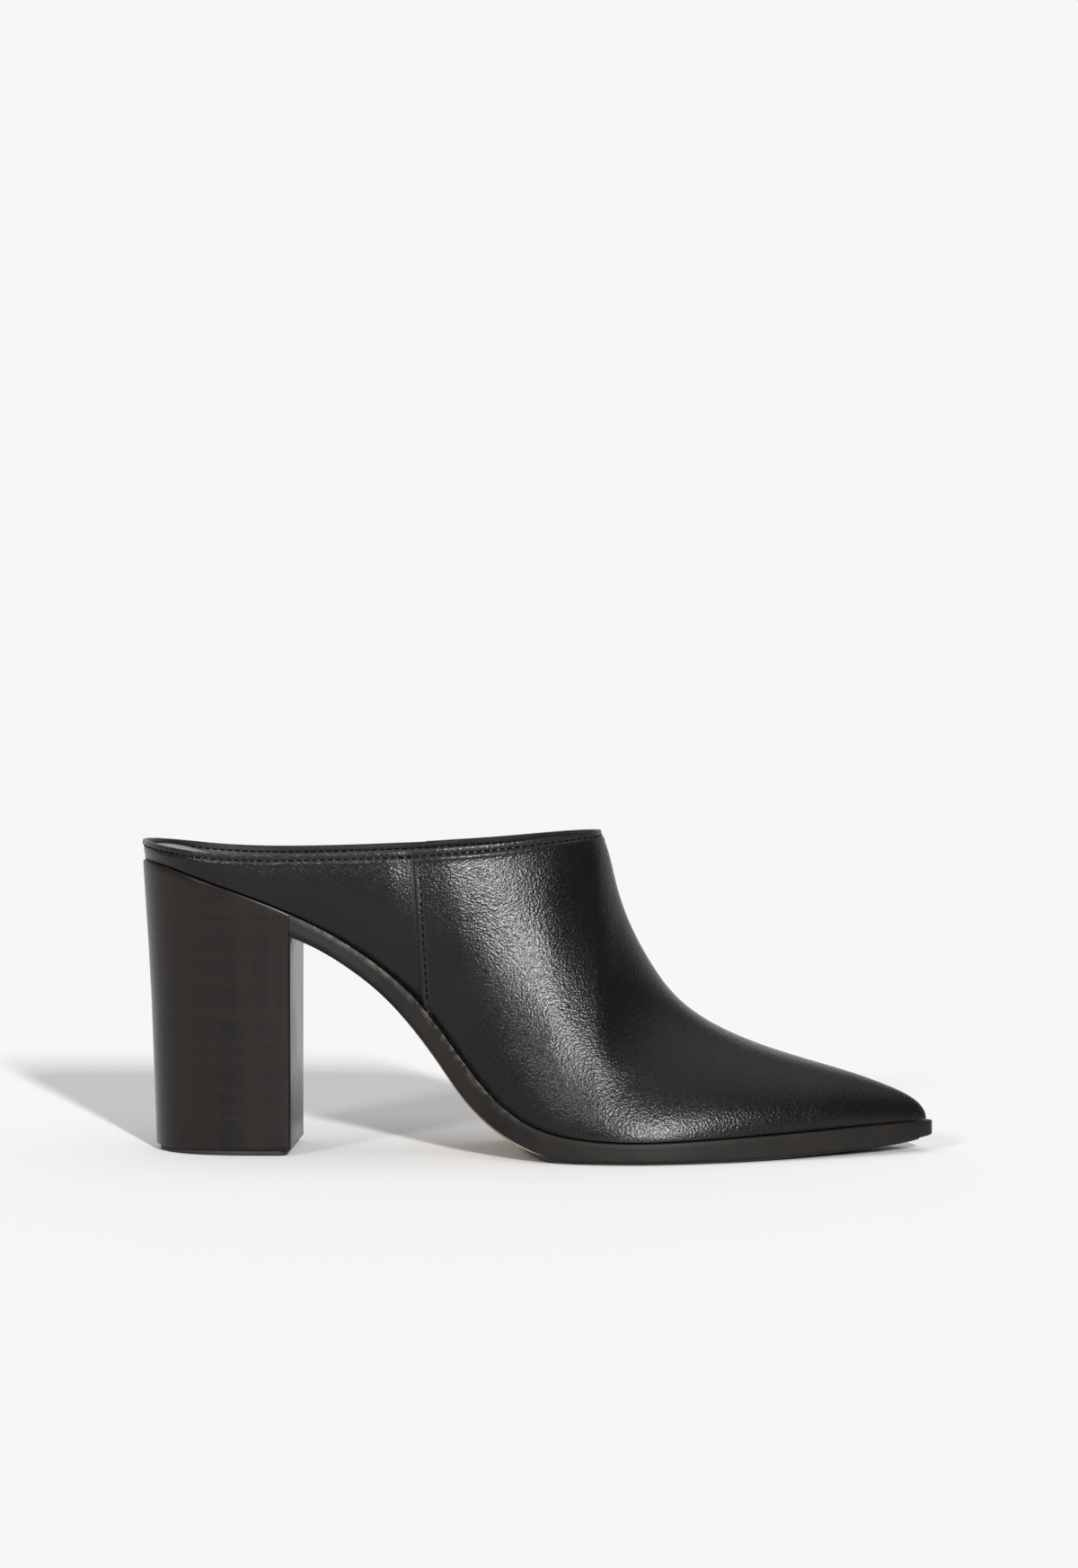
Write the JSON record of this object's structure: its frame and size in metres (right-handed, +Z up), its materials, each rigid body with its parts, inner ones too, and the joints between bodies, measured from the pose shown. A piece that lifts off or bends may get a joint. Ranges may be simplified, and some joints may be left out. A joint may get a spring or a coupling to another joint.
{
  "type": "mule pump",
  "caption": "Slip-on mule pump with a pointed closed toe, high vamp, low heel rim and tall block heel.",
  "frame": {"origin": "on the floor, under the middle of the shoe's bounding box", "axes": "+X from heel to toe along the shoe's length, +Y to the medial (inner) side, +Z up"},
  "size_m": [0.241, 0.081, 0.0977],
  "materials": {
    "upper_leather": "smooth black leather, fine grain, soft satin gloss",
    "sock_leather": "light grey sock leather, satin",
    "sole_leather": "dark brown-black edge ink, tan leather underneath",
    "tread_rubber": "matt black rubber, fine pebble",
    "heel_lacquer": "stacked look, dark brown-black lacquer, satin",
    "lift_rubber": "matt black rubber"
  },
  "bodies": {
    "root": {"upper": "upper_leather", "insole": "sock_leather", "outsole": "sole_leather", "half_sole": "tread_rubber", "heel_block": "heel_lacquer", "heel_lift": "lift_rubber"}
  },
  "joints": []
}
